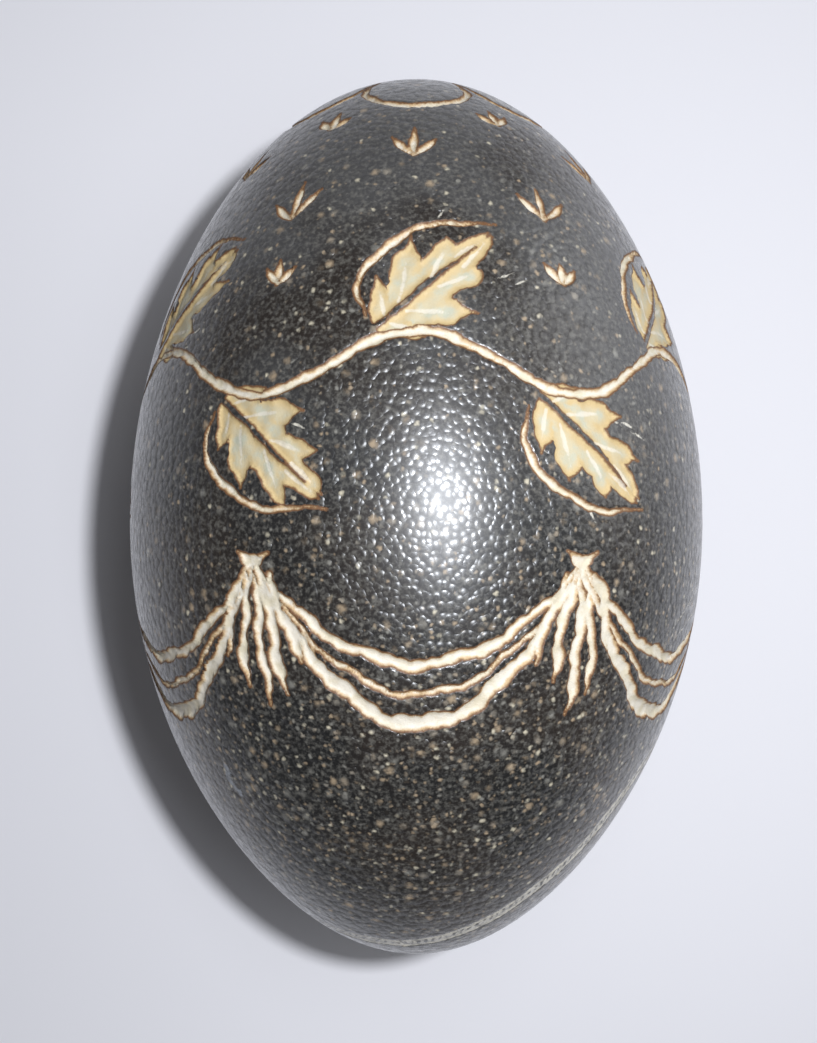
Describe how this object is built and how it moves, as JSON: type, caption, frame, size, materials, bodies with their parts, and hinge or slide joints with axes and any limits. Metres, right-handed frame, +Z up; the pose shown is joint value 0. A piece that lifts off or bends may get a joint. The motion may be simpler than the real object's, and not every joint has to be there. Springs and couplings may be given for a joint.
{
  "type": "carved emu egg",
  "caption": "Dark speckled emu egg lying on its side, its skin carved through to the cream layer in a leaf wreath, swags and sprigs.",
  "frame": {"origin": "centre of the small resting flat on the underside, on the surface that the egg lies on, under the middle of its length and width", "axes": "+Z up, +Y along the egg's long axis towards its blunter end, +X across it to the right in the picture"},
  "size_m": [0.0874, 0.134, 0.0871],
  "materials": {
    "eggshell": "satin"
  },
  "bodies": {
    "root": {"emu_egg": "eggshell"}
  },
  "joints": []
}
